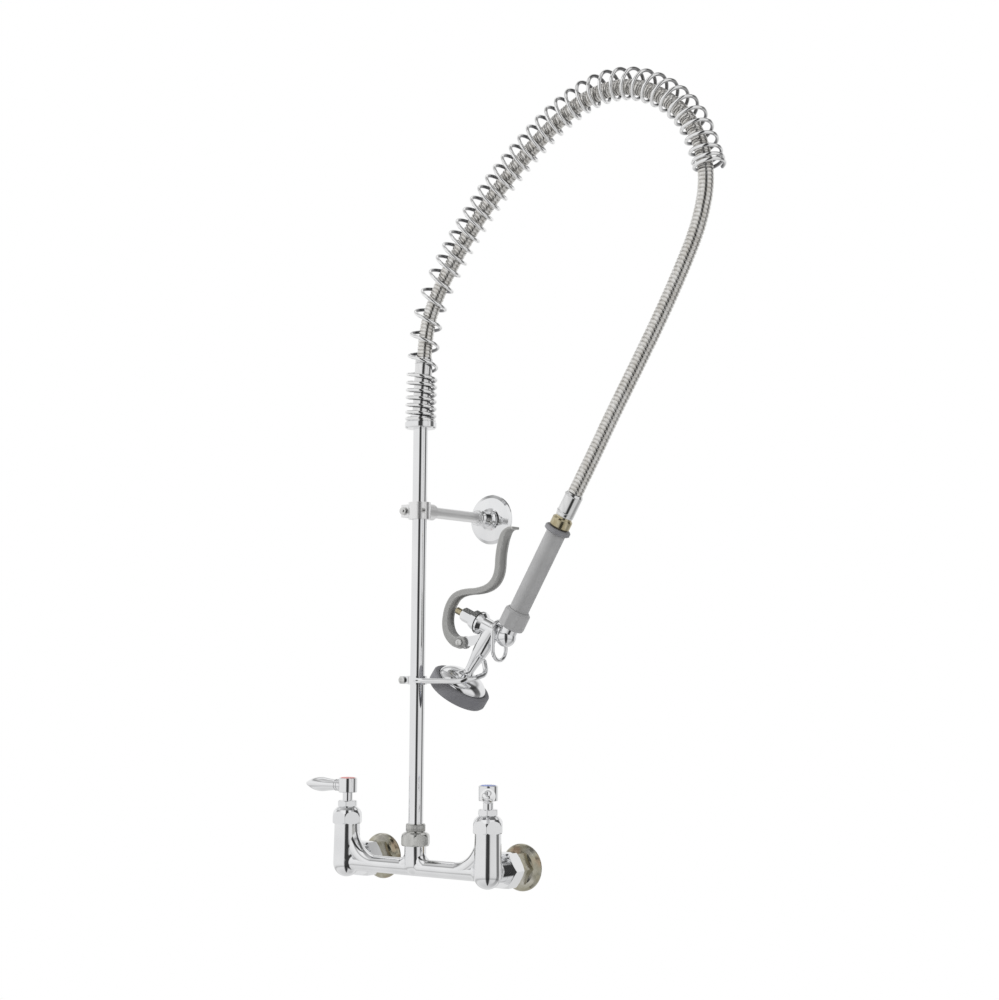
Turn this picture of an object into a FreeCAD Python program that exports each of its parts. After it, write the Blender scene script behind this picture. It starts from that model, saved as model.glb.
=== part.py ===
"""Wall-mounted pre-rinse faucet, as a parametric FreeCAD document, in millimetres.

+X is to the right seen from the front (cold side), +Y points into the wall and +Z is up.
The origin is midway between the two inlets, on the plane of their wall flanges.
"""
import FreeCAD, Part
import Sketcher
import math
import os

os.makedirs("parts", exist_ok=True)
doc = FreeCAD.newDocument("pre_rinse_faucet")
V = FreeCAD.Vector
UP = V(0, 0, 1)
RIGHT = V(1, 0, 0)
WALL = V(0, 1, 0)

# ---------------------------------------------------------------- driving sizes
DIMENSIONS = {
    "inlet_spacing": 203.2,      # between the two inlets
    "body_depth": 70.0,          # valve arms in front of the wall
    "seam_height": 43.7,         # top of the valve arms
    "arm_dia": 30.0,
    "arm_bottom": 18.5,          # how far the arms reach below the inlet axis
    "arm_bore": 22.0,
    "bar_dia": 19.5,             # crossbar
    "column_dia": 25.0,          # centre column
    "column_height": 23.4,
    "arm_flare": 32.0,           # hollow corner radii where the uprights run into the crossbar
    "column_flare": 10.0,
    "column_bore": 18.0,
    "shank_dia": 26.0,
    "coupling_flats": 39.0,
    "flange_flats": 35.7,
    "flange_dia": 54.0,
    "inlet_bore": 19.0,
    "bonnet_flats": 32.0,
    "bonnet_height": 19.7,
    "packing_flats": 21.0,
    "packing_height": 7.0,
    "stem_dia": 11.8,
    "stem_gap": 9.4,             # bare stem between packing nut and lever hub
    "hub_dia": 22.0,
    "hub_height": 17.0,
    "lever_length": 64.5,
    "lever_fat": 16.8,
    "index_dia": 18.8,
    "union_flats": 31.0,
    "union_height": 15.4,
    "collar_dia": 21.4,
    "collar_height": 10.0,
    "riser_dia": 17.1,
    "riser_bore": 13.0,
    "riser_top": 514.0,
    "spring_seat": 508.0,        # underside of the spring nut
    "spring_nut_height": 9.0,
    "spring_nut_dia": 37.0,
    "spring_dia": 37.5,
    "spring_wall": 0.9,
    "ferrule_dia": 20.4,
    "hose_dia": 17.4,
    "bracket_height": 411.0,
    "bracket_reach": 149.0,      # riser axis to the back of the bracket's wall disc
    "bracket_pipe_dia": 13.0,
    "bracket_disc_dia": 61.6,
    "clamp_height": 20.0,
    "hook_height": 213.5,
    "hook_rod": 6.0,
    "band_height": 10.0,
    "grip_dia": 22.4,
    "grip_tilt": 30.0,           # grip axis from vertical
    "spray_tilt": 35.0,          # spray column axis from vertical
    "plunger_slope": 24.2,       # plunger axis below horizontal
    "bumper_dia": 71.0,
    "bumper_height": 15.8,
    "running_gap": 0.06,         # radial clearance of a turning fit
}
sheet = doc.addObject("Spreadsheet::Sheet", "Dims")
for row, (alias, number) in enumerate(DIMENSIONS.items(), start=1):
    sheet.set("A%d" % row, alias)
    sheet.set("B%d" % row, str(number))
    sheet.setAlias("B%d" % row, alias)
doc.recompute()


class Size:
    """A length from the sheet: its value now, and the expression that works it out."""

    def __init__(self, value, text):
        self.value = float(value)
        self.text = text

    def combine(self, other, sign, swap=False):
        other = other if isinstance(other, Size) else Size(other, repr(float(other)))
        first, second = (other, self) if swap else (self, other)
        results = {
            "+": lambda: first.value + second.value,
            "-": lambda: first.value - second.value,
            "*": lambda: first.value * second.value,
            "/": lambda: first.value / second.value,
        }
        return Size(results[sign](), "(%s %s %s)" % (first.text, sign, second.text))

    def __add__(self, other):
        return self.combine(other, "+")

    def __radd__(self, other):
        return self.combine(other, "+", swap=True)

    def __sub__(self, other):
        return self.combine(other, "-")

    def __rsub__(self, other):
        return self.combine(other, "-", swap=True)

    def __mul__(self, other):
        return self.combine(other, "*")

    def __rmul__(self, other):
        return self.combine(other, "*", swap=True)

    def __truediv__(self, other):
        return self.combine(other, "/")

    def __float__(self):
        return self.value


def size(alias):
    return Size(sheet.get(alias), "Dims.%s" % alias)


def half(alias):
    return size(alias) / 2


def bind(thing, path, length):
    """Give a property or a constraint its length, as an expression where it comes from the sheet."""
    if isinstance(length, Size):
        thing.setExpression(path, length.text)


# ---------------------------------------------------------------- building helpers
def place(piece, at=V(0, 0, 0), along=UP, spin=0.0):
    """Stand a piece that was made along +Z at a point, along a direction."""
    turn = FreeCAD.Rotation(UP, along).multiply(FreeCAD.Rotation(UP, spin))
    piece.Placement = FreeCAD.Placement(at, turn)
    return piece


def origin_plane(body, role):
    return [item for item in body.Origin.OriginFeatures if item.Role == role][0]


def draw_outline(sketch, corners):
    """Closed outline through (across, up) corners, each held by its two sizes."""
    count = len(corners)
    points = [V(float(across), float(up), 0) for across, up in corners]
    for index in range(count):
        start, end = points[index], points[(index + 1) % count]
        sketch.addGeometry(Part.LineSegment(start, end), False)
    for index in range(count):
        sketch.addConstraint(Sketcher.Constraint("Coincident", index, 2, (index + 1) % count, 1))
    for index, (across, up) in enumerate(corners):
        for kind, length, axis in (("DistanceX", across, -2), ("DistanceY", up, -1)):
            if float(length) == 0.0:
                sketch.addConstraint(Sketcher.Constraint("PointOnObject", index, 1, axis))
                continue
            number = sketch.addConstraint(
                Sketcher.Constraint(kind, -1, 1, index, 1, float(length)))
            bind(sketch, "Constraints[%d]" % number, length)


def turned(name, corners):
    """A PartDesign body turned on a lathe: an outline of (radius, height) corners round Z."""
    body = doc.addObject("PartDesign::Body", name)
    sketch = body.newObject("Sketcher::SketchObject", name + "_outline")
    sketch.AttachmentSupport = (origin_plane(body, "XZ_Plane"), [""])
    sketch.MapMode = "FlatFace"
    draw_outline(sketch, corners)
    turn = body.newObject("PartDesign::Revolution", name + "_turn")
    turn.Profile = sketch
    turn.ReferenceAxis = (sketch, ["V_Axis"])
    turn.Angle = 360
    body.Tip = turn
    return body


def ring(name, outer, inner, bottom, top):
    return turned(name, [(inner, bottom), (outer, bottom), (outer, top), (inner, top)])


def hexagon(name, flats, bottom, top):
    prism = doc.addObject("Part::Prism", name)
    prism.Polygon = 6
    bind(prism, "Circumradius", flats / 2 * (1 / math.cos(math.pi / 6)))
    prism.Circumradius = float(flats) / 2 / math.cos(math.pi / 6)
    bind(prism, "Height", top - bottom)
    prism.Height = float(top) - float(bottom)
    prism.Placement.Base = V(0, 0, float(bottom))
    return prism


def hex_nut(name, flats, corners, bottom, top):
    """A hexagon with its corners, faces and bore turned to the outline."""
    nut = doc.addObject("Part::Common", name)
    nut.Base = hexagon(name + "_hexagon", flats, bottom, top)
    nut.Tool = turned(name + "_turning", corners)
    return nut


def fused(name, pieces):
    result = doc.addObject("Part::MultiFuse", name)
    result.Shapes = pieces
    result.Refine = True
    return result


def cut(name, base, tools):
    result = doc.addObject("Part::Cut", name)
    result.Base = base
    result.Tool = tools[0] if len(tools) == 1 else fused(name + "_cutters", tools)
    return result


def group(name, pieces):
    """Identical separate pieces in one node."""
    result = doc.addObject("Part::Compound", name)
    result.Links = pieces
    return result


def shaped(name, shape):
    """A piece whose shape is made with Part's own functions."""
    piece = doc.addObject("Part::Feature", name)
    piece.Shape = shape
    return piece


def swept_rod(points, radii, rod_radius):
    """A round rod along straight runs joined by tangent arcs of the given radii."""
    wire = rounded_wire(points, radii)
    start = wire.Edges[0].valueAt(wire.Edges[0].FirstParameter)
    along = wire.Edges[0].tangentAt(wire.Edges[0].FirstParameter)
    circle = Part.Wire(Part.Circle(start, along, rod_radius).toShape())
    return wire.makePipeShell([circle], True, False)


def rounded_wire(points, radii):
    edges = []
    last = points[0]
    for index in range(1, len(points) - 1):
        into = (points[index] - points[index - 1]).normalize()
        out = (points[index + 1] - points[index]).normalize()
        turn = into.getAngle(out)
        reach = radii[index - 1] * math.tan(turn / 2)
        start = points[index] - into * reach
        end = points[index] + out * reach
        inward = (out - into).normalize()
        middle = points[index] + inward * (radii[index - 1] / math.cos(turn / 2) - radii[index - 1])
        if start.distanceToPoint(last) > 1e-6:
            edges.append(Part.LineSegment(last, start).toShape())
        edges.append(Part.Arc(start, middle, end).toShape())
        last = end
    edges.append(Part.LineSegment(last, points[-1]).toShape())
    return Part.Wire(edges)


def natural_radii(points, share=0.45):
    """The largest tangent arcs that the runs of a hanging hose leave room for."""
    radii = []
    for before, here, after in zip(points, points[1:], points[2:]):
        turn = (here - before).getAngle(after - here)
        shorter = min(here.distanceToPoint(before), after.distanceToPoint(here))
        radii.append(share * shorter / math.tan(turn / 2))
    return radii


# ---------------------------------------------------------------- places worked out
arm_x = float(half("inlet_spacing"))
front = -float(size("body_depth"))
seam = float(size("seam_height"))
SIDES = {"hot": -arm_x, "cold": arm_x}
gap = size("running_gap")

bonnet_top = size("seam_height") + size("bonnet_height")
packing_top = bonnet_top + size("packing_height")
hub_bottom = packing_top + size("stem_gap")
hub_top = hub_bottom + size("hub_height")

# The spray valve lies in the plane of the riser: (x, z) points and directions there.
def in_plane(x, z, y=0.0):
    return V(x, front + y, z)


def tilted(degrees):
    """Unit vector in the valve's plane, leaning to +X by an angle from vertical."""
    lean = math.radians(degrees)
    return V(math.sin(lean), 0, math.cos(lean))


valve_centre = in_plane(106.2, 271.6)                       # plunger axis meets spray column
column_up = tilted(float(size("spray_tilt")))
grip_up = tilted(float(size("grip_tilt")))
plunger_out = tilted(-90.0 + float(size("plunger_slope")))  # towards the squeeze lever
column_length = 73.3                                        # valve centre to the bumper's top rim
rim_centre = valve_centre - column_up * column_length
elbow_centre = valve_centre - plunger_out * 19.4
pivot = in_plane(64.5, 257.3)


def on_grip(distance):
    return elbow_centre + grip_up * distance


def on_plunger(distance):
    return valve_centre + plunger_out * distance


# ---------------------------------------------------------------- faucet body and inlets
def junction_edges(shape, at, along, radius, reach):
    """Edges on a cylinder's surface where it meets the rest, without its own seam line."""
    picked = []
    for edge in shape.Edges:
        first, last = edge.ParameterRange
        offsets = [edge.valueAt(first + (last - first) * step / 4) - at for step in range(5)]
        on_surface = all(abs(offset.cross(along).Length - radius) < 0.02
                         and 0 < offset.dot(along) < reach for offset in offsets)
        if on_surface and abs((offsets[4] - offsets[0]).normalize().dot(along)) < 0.999:
            picked.append(edge)
    return picked


def soften(shape, edges, radii):
    """Round the junction's edges with the first radius that works."""
    for radius in radii:
        try:
            rounded = shape.makeFillet(radius, edges)
        except Part.OCCError:
            continue
        if rounded.isValid() and rounded.Volume > shape.Volume:
            print("fillet", radius, "on", len(edges), "edges")
            return rounded
    print("no fillet on", len(edges), "edges")
    return shape


def flare(upright_r, section_r, inner_r, side):
    """Quarter bend just inside an upright, which sweeps its inner side into the crossbar."""
    start = upright_r - 0.3 - section_r
    bend = inner_r + section_r
    centre = V(start + bend, 0, bend - 1)
    slant = bend * math.sqrt(0.5)
    arc = Part.Arc(V(start, 0, bend - 1), centre - V(slant, 0, slant), V(start + bend, 0, -1))
    section = Part.Wire(Part.makeCircle(section_r, V(start, 0, bend - 1), UP))
    solid = Part.Wire(arc.toShape()).makePipeShell([section], True, False)
    return solid if side > 0 else solid.mirror(V(0, 0, 0), RIGHT)


def valve_arm():
    """One arm with its rounded foot, its half of the crossbar and its shank to the wall."""
    arm_r = float(half("arm_dia"))
    foot_r = arm_r + 0.8
    foot = V(0, 0, foot_r - float(size("arm_bottom")))
    bar_r = float(half("bar_dia"))
    shank_r = float(half("shank_dia"))
    shank_length = -front - 36.5
    arm = Part.makeCone(foot_r, arm_r, seam - foot.z, foot).fuse(Part.makeSphere(foot_r, foot))
    bar_start = V(0, 0, -1)
    arm = arm.removeSplitter().fuse(Part.makeCylinder(bar_r, arm_x, bar_start, RIGHT))
    arm = soften(arm, junction_edges(arm, bar_start, RIGHT, bar_r, 25), (8.5, 8.0, 7.0, 5.0))
    arm = arm.fuse(flare(arm_r, bar_r - 0.2, float(size("arm_flare")), 1))
    arm = arm.fuse(Part.makeCylinder(shank_r, shank_length, V(0, 0, 0), WALL))
    return soften(arm, junction_edges(arm, V(0, 0, 0), WALL, shank_r, 24), (5.0, 4.0, 3.0, 2.0))


def water_casting():
    """Two arms, a crossbar, a centre column and two shanks in one casting, with its waterways."""
    bar_r = float(half("bar_dia"))
    column_r = float(half("column_dia"))
    column_top = float(size("column_height"))
    hot_arm = valve_arm()
    cold_arm = hot_arm.mirror(V(0, 0, 0), RIGHT)
    hot_arm.translate(V(SIDES["hot"], front, 0))
    cold_arm.translate(V(SIDES["cold"], front, 0))
    column = Part.makeCylinder(column_r, column_top - 2, V(0, front, 2))
    column = column.fuse(Part.makeSphere(column_r, V(0, front, 2))).removeSplitter()
    middle = column.fuse(Part.makeCylinder(bar_r, 80, V(-40, front, -1), RIGHT)).removeSplitter()
    waist = [edge for edge in middle.Edges
             if 4 < abs(edge.CenterOfMass.x) < column_r + 1 and edge.CenterOfMass.z < 14]
    middle = soften(middle, waist, (7.0, 6.0, 5.0, 3.0))
    for side in (-1, 1):
        bend = flare(column_r, bar_r - 0.35, float(size("column_flare")), side)
        bend.translate(V(0, front, 0))
        middle = middle.fuse(bend)
    casting = middle.multiFuse([hot_arm, cold_arm]).removeSplitter()
    ways = [Part.makeCylinder(6, 2 * arm_x, V(-arm_x, front, -1), RIGHT)]
    for x in SIDES.values():
        ways.append(Part.makeCylinder(float(half("arm_bore")), seam, V(x, front, 2)))
        ways.append(Part.makeCylinder(8, -front, V(x, front, 0), WALL))
    ways.append(Part.makeCylinder(float(half("column_bore")), column_top, V(0, front, 2)))
    return casting.cut(Part.makeCompound(ways))


# ---------------------------------------------------------------- couplings at the wall
def inlets():
    """Coupling nut, threaded wall flange and washer on each shank, all along +Y."""
    washers = []
    for side, x in SIDES.items():
        nut = hex_nut(
            side + "_coupling_nut", size("coupling_flats"),
            [(half("shank_dia") + 0.05, 0), (19.5, 0), (22.6, 2), (22.6, 17), (20, 19),
             (half("shank_dia") + 0.05, 19)], 0, 19)
        place(nut, V(x, -46, 0), WALL)
        flange_r = half("flange_dia")
        flange = cut(
            side + "_inlet_flange",
            fused(side + "_inlet_flange_blank", [
                hexagon(side + "_inlet_hexagon", size("flange_flats"), 7, 26),
                turned(side + "_inlet_disc",
                       [(0, 0), (half("shank_dia") - 0.05, 0), (half("shank_dia") - 0.05, 24),
                        (17.5, 24), (20, 26.5), (24.5, 28.5), (flange_r - 0.8, 30.5),
                        (flange_r, 32), (flange_r, 34), (0, 34)])]),
            [turned(side + "_inlet_bore",
                    [(0, -1), (7.5, -1), (7.5, 12), (half("inlet_bore"), 14),
                     (half("inlet_bore"), 35), (0, 35)])])
        place(flange, V(x, -34, 0), WALL)
        washer = ring(side + "_inlet_washer", 12.6, 8.2, 0, 2.5)
        washers.append(place(washer, V(x, -36.5, 0), WALL))
    return group("inlet_washers", washers)


# ---------------------------------------------------------------- valves and handles
def valve_stack(side, x):
    """What each arm holds: cartridge, bonnet nut and packing nut, turned round its axis."""
    stem_r = half("stem_dia") - 1.0
    cartridge = turned(
        side + "_cartridge",
        [(stem_r + gap, 6), (10.6, 6), (10.6, 20), (9.8, 20), (9.8, 30), (10.6, 30),
         (10.6, 55.9), (stem_r + gap, 55.9)])
    place(cartridge, V(x, front, 0))
    base, top = size("seam_height"), bonnet_top
    nut = hex_nut(
        side + "_bonnet_nut", size("bonnet_flats"),
        [(10.8, base), (16.4, base), (18.4, base + 1.6), (18.4, base + 8), (17.4, base + 12),
         (15, base + 16), (12.2, base + 18.6), (10.4, top), (7.5, top), (7.5, base + 14),
         (10.8, base + 14)], base, top)
    place(nut, V(x, front, 0))
    foot = bonnet_top - 7.4
    packing = hex_nut(
        side + "_packing_nut", size("packing_flats"),
        [(stem_r + gap, foot), (7.4, foot), (7.4, top), (10.6, top), (12, top + 1.2),
         (12, packing_top - 1.6), (10.4, packing_top), (stem_r + gap, packing_top)],
        foot, packing_top)
    place(packing, V(x, front, 0))


def smooth_turning(outline, base_edge):
    """A turned piece whose outer line is one smooth curve through (radius, height) points."""
    curve = Part.BSplineCurve()
    curve.interpolate([V(r, 0, z) for r, z in outline])
    edges = [curve.toShape()]
    corners = [V(r, 0, z) for r, z in [outline[-1]] + base_edge + [outline[0]]]
    edges += [Part.makeLine(a, b) for a, b in zip(corners, corners[1:])]
    face = Part.Face(Part.Wire(edges))
    return face.revolve(V(0, 0, 0), UP, 360)


def handle(side, x, points_to):
    """Lever handle of one valve: stem, lever, screw and coloured index cap."""
    at = V(x, front, 0)
    stem_r = half("stem_dia") - 1.0
    shoulder = packing_top + 0.3
    stem = turned(
        side + "_stem",
        [(0, 8), (stem_r, 8), (stem_r, shoulder), (half("stem_dia"), shoulder),
         (half("stem_dia"), hub_bottom), (4, hub_bottom), (4, hub_bottom + 10),
         (2, hub_bottom + 10), (2, hub_bottom + 2), (0, hub_bottom + 2)])
    place(stem, at)
    hub_r = float(half("hub_dia"))
    low, high = float(hub_bottom), float(hub_top)
    hub = Part.makeCylinder(hub_r, high - low, V(0, 0, low))
    hub = hub.makeFillet(1.0, [edge for edge in hub.Edges if len(edge.Vertexes) == 1])
    fat = float(size("lever_fat")) / 2
    reach = float(size("lever_length"))
    neck = 6.2
    paddle = smooth_turning([
        (neck, 19.5), (neck + 0.5, 24), (fat - 0.9, 31), (fat, 38), (fat - 0.4, 46),
        (fat - 2.3, 54), (fat - 4.9, 60), (fat - 6.6, 63), (0, reach)], [(0, 19.5)])
    rings = [Part.makeCylinder(neck, 12.6, V(0, 0, 7)),
             Part.makeTorus(neck - 0.3, 1.0, V(0, 0, 14.4)),
             Part.makeTorus(neck - 0.3, 1.0, V(0, 0, 17.6))]
    arm = paddle.multiFuse(rings)
    arm.Placement = FreeCAD.Placement(V(0, 0, (low + high) / 2 - 0.6),
                                      FreeCAD.Rotation(UP, points_to))
    blank = hub.fuse(arm)
    cap_r = float(half("index_dia"))
    hollow = [Part.makeCylinder(4, 10, V(0, 0, low)),
              Part.makeCylinder(2.2, high - low, V(0, 0, low)),
              Part.makeCylinder(4.4, 9, V(0, 0, low + 11.2)),
              Part.makeCylinder(cap_r + 0.05, 3, V(0, 0, high - 2.3))]
    lever = shaped(side + "_lever", blank.cut(Part.makeCompound(hollow)))
    place(lever, at)
    screw = turned(side + "_handle_screw",
                   [(0, low + 2.5), (1.95, low + 2.5), (1.95, low + 11.2), (4.1, low + 11.2),
                    (4.1, low + 13.4), (3.4, low + 14.2), (0, low + 14.2)])
    place(screw, at)
    index = turned(side + "_index",
                   [(0, hub_top - 2.3), (half("index_dia"), hub_top - 2.3),
                    (half("index_dia"), hub_top), (half("index_dia") - 1.2, hub_top + 0.6),
                    (half("index_dia") - 4, hub_top + 1.0), (0, hub_top + 1.2)])
    place(index, at)


# ---------------------------------------------------------------- riser, bracket and hook
def swivel():
    """Union nut on the column, and the sealed stem that turns in it and carries the riser."""
    at = V(0, front, 0)
    low = size("column_height") + 0.2
    top = low + size("union_height")
    union = hex_nut(
        "riser_union_nut", size("union_flats"),
        [(11.7, low), (15.2, low), (17.9, low + 2.6), (17.9, low + 9.6), (15.6, low + 13.4),
         (12.6, top), (9.6, top), (9.6, low + 5.4), (11.7, low + 5.4)], low, top)
    place(union, at)
    stem_r = half("column_bore") - gap
    groove = stem_r - 1.6
    collar = half("collar_dia")
    collar_low = top + 0.3
    collar_top = top + size("collar_height")
    stem = turned(
        "riser_swivel_stem",
        [(5, 6), (stem_r, 6), (stem_r, 10), (groove, 10), (groove, 12.6), (stem_r, 12.6),
         (stem_r, 15.4), (groove, 15.4), (groove, 18), (stem_r, 18), (stem_r, low + 0.3),
         (11.3, low + 0.3), (11.3, low + 5), (9.54, low + 5), (9.54, collar_low),
         (collar, collar_low), (collar, collar_top), (half("riser_dia") + 0.05, collar_top),
         (half("riser_dia") + 0.05, top + 2.5), (5, top + 2.5)])
    place(stem, at)
    seals = []
    for number, z in enumerate((11.3, 16.7)):
        seal = doc.addObject("Part::Torus", "o_ring_%d" % number)
        seal.Radius1 = float(groove) + 0.8
        seal.Radius2 = 0.78
        seals.append(place(seal, at + UP * z))
    group("union_o_rings", seals)
    pipe_low = top + 2.6
    place(ring("riser_pipe", half("riser_dia"), half("riser_bore"), pipe_low,
               size("riser_top")), at)


def wall_bracket():
    """Split clamp round the riser, a pipe back to the wall, and its round wall disc."""
    height = float(size("bracket_height"))
    tall = float(size("clamp_height"))
    riser_r = float(half("riser_dia"))
    pipe_r = float(half("bracket_pipe_dia"))
    back = front + float(size("bracket_reach"))
    axis = V(0, front, height)
    low = axis - UP * (tall / 2)
    block = Part.makeCylinder(13, tall, low)
    ears = Part.makeBox(13, 15, tall - 5, V(-23, front - 7.5, height - tall / 2 + 2.5))
    ears = ears.makeFillet(3, [edge for edge in ears.Edges
                               if abs(edge.CenterOfMass.x + 23) < 0.1
                               and edge.Length < 15.5 and edge.Length > 14.5])
    socket = Part.makeCylinder(9.5, 24, axis, WALL)
    clamp = block.multiFuse([ears, socket])
    cutters = [Part.makeCylinder(riser_r + float(gap), tall + 2, low - UP),
               Part.makeBox(26, 2.4, tall + 2, V(-26, front - 1.2, height - tall / 2 - 1)),
               Part.makeCylinder(2.6, 40, axis + V(-17.5, -20, 0), WALL),
               Part.makeCylinder(pipe_r, 12, axis + WALL * 13, WALL)]
    shaped("bracket_clamp", clamp.cut(Part.makeCompound(cutters)))
    screw = turned("bracket_clamp_screw",
                   [(0, 0), (1.6, 0), (1.6, 1.4), (4.4, 1.4), (4.4, 4), (2.5, 4), (2.5, 20.4),
                    (3.9, 20.4), (3.9, 23), (0, 23)])
    place(screw, axis + V(-17.5, -11.6, 0), WALL)
    pipe = ring("bracket_pipe", half("bracket_pipe_dia"), half("bracket_pipe_dia") - 2, 0,
                size("bracket_reach") - 13 - 4)
    place(pipe, axis + WALL * 13, WALL)
    disc_r = half("bracket_disc_dia")
    flange = turned(
        "bracket_flange",
        [(0, 0), (disc_r - 0.8, 0), (disc_r, -0.8), (disc_r - 0.6, -2.2), (disc_r - 4, -3.4),
         (14, -5), (12.2, -6.4), (12.2, -10), (9.6, -11), (9.6, -24),
         (half("bracket_pipe_dia") + 0.05, -24), (half("bracket_pipe_dia") + 0.05, -4), (0, -4)])
    place(flange, V(0, back, height), WALL)
    set_screw = turned("bracket_set_screw",
                       [(0, 0.2), (2.2, 0.2), (2.2, 3.4), (1.3, 4.4), (0, 4.4)])
    side = V(math.cos(math.radians(-25)), 0, math.sin(math.radians(-25)))
    place(set_screw, V(0, back - 18, height) + side * 9.4, side)


HOOK_ROUTE = [(4, -79, 213.5), (38, -111.5, 213.5), (100, -111.5, 213.5), (102, -76, 222),
              (96.5, -73, 235.5)]
HOOK_BENDS = [22, 20, 12]


def finger_hook():
    """Rod hook whose band grips the riser: it bows past the spray head and rises behind it."""
    level = float(size("hook_height"))
    riser_r = float(half("riser_dia"))
    tall = float(size("band_height"))
    rod_r = float(size("hook_rod")) / 2
    axis = V(0, front, level)
    low = axis - UP * (tall / 2)
    rod = swept_rod([V(*point) for point in HOOK_ROUTE], HOOK_BENDS, rod_r)
    tip = Part.makeSphere(rod_r, V(*HOOK_ROUTE[-1]))
    band = Part.makeCylinder(riser_r + 2.6, tall, low)
    ears = Part.makeBox(13, 8.4, tall - 1, V(-23, front - 4.2, level - tall / 2 + 0.5))
    hook = band.multiFuse([ears, rod, tip])
    cutters = [Part.makeCylinder(riser_r + 0.02, tall + 8, low - UP * 4),
               Part.makeBox(26, 2.4, tall + 2, V(-26, front - 1.2, level - tall / 2 - 1)),
               Part.makeCylinder(2.1, 30, axis + V(-18.5, -15, 0), WALL)]
    shaped("finger_hook", hook.cut(Part.makeCompound(cutters)))
    screw = turned("finger_hook_screw",
                   [(0, 0.8), (2, 0), (4.2, 0.6), (4.2, 2.6), (2.05, 3.2), (2.05, 16), (0, 16)])
    place(screw, axis + V(-18.5, -7.4, 0), WALL)
    nut = hex_nut("finger_hook_nut", size("hook_rod") + 1.4,
                  [(2.07, 0), (3.9, 0), (4.2, 0.6), (4.2, 2.6), (3.9, 3.2), (2.07, 3.2)],
                  0, 3.2)
    place(nut, axis + V(-18.5, 4.25, 0), WALL)


# ---------------------------------------------------------------- spring and hose
# Route of the hose's centre line, (x, z), from the riser's ferrule over to the valve's ferrule.
HOSE_ROUTE = [(4, 592), (6, 626), (20, 662), (42, 698), (70, 737), (104, 776), (146, 815),
              (192, 850), (238, 872), (287, 873), (334, 849), (368, 809), (381, 757),
              (371, 706), (347, 655), (320, 604), (291, 554), (262, 505), (236, 458), (215, 422)]
SPRING_TURNS_HERE = 12       # the coil ends at this point of the route
COIL_OFFSET = 4.0            # the coil stands out from the hose over the top of the loop


def overhead():
    """Nut at the riser's top, the two crimped ferrules, the hose and the coil round it."""
    at = V(0, front, 0)
    seat, rise = size("spring_seat"), size("spring_nut_height")
    bore = half("riser_dia") + 0.05
    nut = turned("spring_nut",
                 [(bore, seat), (half("spring_nut_dia") - 1.5, seat),
                  (half("spring_nut_dia"), seat + 1.5), (half("spring_nut_dia"), seat + rise - 2),
                  (half("spring_nut_dia") - 2, seat + rise), (13, seat + rise), (12.4, seat + 16),
                  (7, seat + 16), (7, size("riser_top") + 0.1), (bore, size("riser_top") + 0.1)])
    place(nut, at)
    ferrule_r = half("ferrule_dia")
    hose_r = half("hose_dia")
    route = [in_plane(x, z) for x, z in HOSE_ROUTE]
    rise_from = route[0] - (route[1] - route[0]).normalize() * 67
    first = turned("hose_inlet_ferrule",
                   [(5.5, 0), (ferrule_r, 0), (ferrule_r, 65), (ferrule_r - 1, 67), (5.5, 67)])
    place(first, rise_from, route[1] - route[0])
    last = turned("hose_outlet_ferrule",
                  [(5.5, 153.8), (ferrule_r - 0.6, 153.8), (ferrule_r, 155), (ferrule_r, 180),
                   (ferrule_r - 1, 182.2), (5.5, 182.2)])
    place(last, elbow_centre, grip_up)
    radii = natural_radii(route)
    print("hose radii", [round(radius) for radius in radii])
    hose = swept_rod(route, radii, float(hose_r))
    length = rounded_wire(route, radii).Length
    print("hose length %.1f, volume ratio %.4f"
          % (length, hose.Volume / (math.pi * float(hose_r) ** 2 * length)))
    shaped("hose", hose)
    coil_route = [in_plane(0, 517.2), in_plane(0, 560)] + spring_route(route)
    coil_radii = natural_radii(coil_route)
    outer = swept_rod(coil_route, coil_radii, float(half("spring_dia")))
    inner = swept_rod(coil_route, coil_radii, float(half("spring_dia") - size("spring_wall")))
    print("coil radii", [round(radius) for radius in coil_radii])
    shaped("overhead_spring", outer.cut(inner))


def spring_route(route):
    """The coil's route: the hose's own, moved outward where the loop bends."""
    points = []
    for index in range(1, SPRING_TURNS_HERE + 1):
        into = (route[index] - route[index - 1]).normalize()
        out = (route[index + 1] - route[index]).normalize()
        outward = (into - out).normalize()
        points.append(route[index] + outward * COIL_OFFSET * min(1.0, index / 3.0))
    return points


# ---------------------------------------------------------------- spray valve
def revolved_curve(outline, base_edge, at, along):
    solid = smooth_turning(outline, base_edge)
    solid.Placement = FreeCAD.Placement(at, FreeCAD.Rotation(UP, along))
    return solid


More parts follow.
